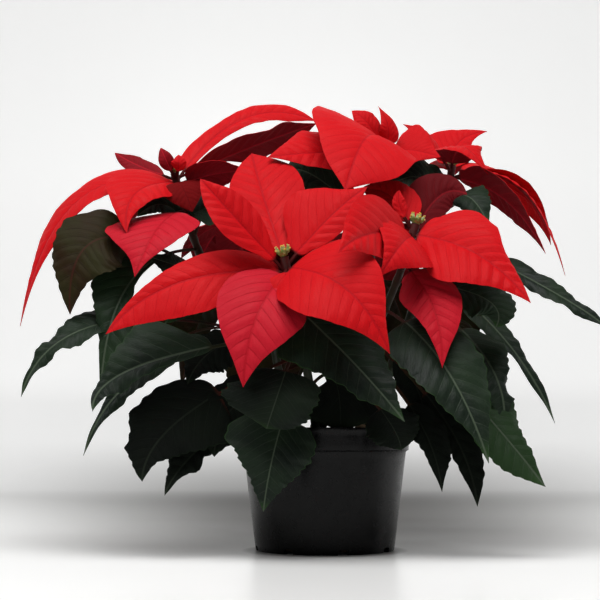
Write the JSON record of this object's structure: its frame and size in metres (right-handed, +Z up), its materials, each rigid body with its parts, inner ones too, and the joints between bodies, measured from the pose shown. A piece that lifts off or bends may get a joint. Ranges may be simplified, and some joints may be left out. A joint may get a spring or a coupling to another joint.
{
  "type": "potted poinsettia",
  "caption": "Bushy indoor plant with large pointed red bracts and dark green lobed leaves on forked stems, rooted in peat in a tapered black nursery pot.",
  "frame": {"origin": "centre of the pot's flat underside, where it rests", "axes": "+Z up; -Y is the side of the plant that the picture shows; +X to that view's right"},
  "size_m": [0.5535, 0.4256, 0.4514],
  "materials": {
    "pot": "satin black nursery plastic",
    "soil": "loose dark peat mix",
    "foliage": "dark green leaves with paler veins, brownish green below",
    "bracts": "soft bright red with darker veins, dark red below",
    "cyathia": "waxy yellow-green"
  },
  "bodies": {
    "root": {"pot": "pot", "soil": "soil", "plant_front": "foliage", "plant_left": "foliage", "plant_right": "foliage", "bracts_a": "bracts", "bracts_b": "bracts", "bracts_c": "bracts", "bracts_d": "bracts", "bracts_e": "bracts", "bracts_f": "bracts", "bracts_g": "bracts", "cyathia_a": "cyathia", "cyathia_b": "cyathia", "cyathia_c": "cyathia", "cyathia_d": "cyathia", "cyathia_e": "cyathia", "cyathia_f": "cyathia", "cyathia_g": "cyathia"}
  },
  "joints": []
}
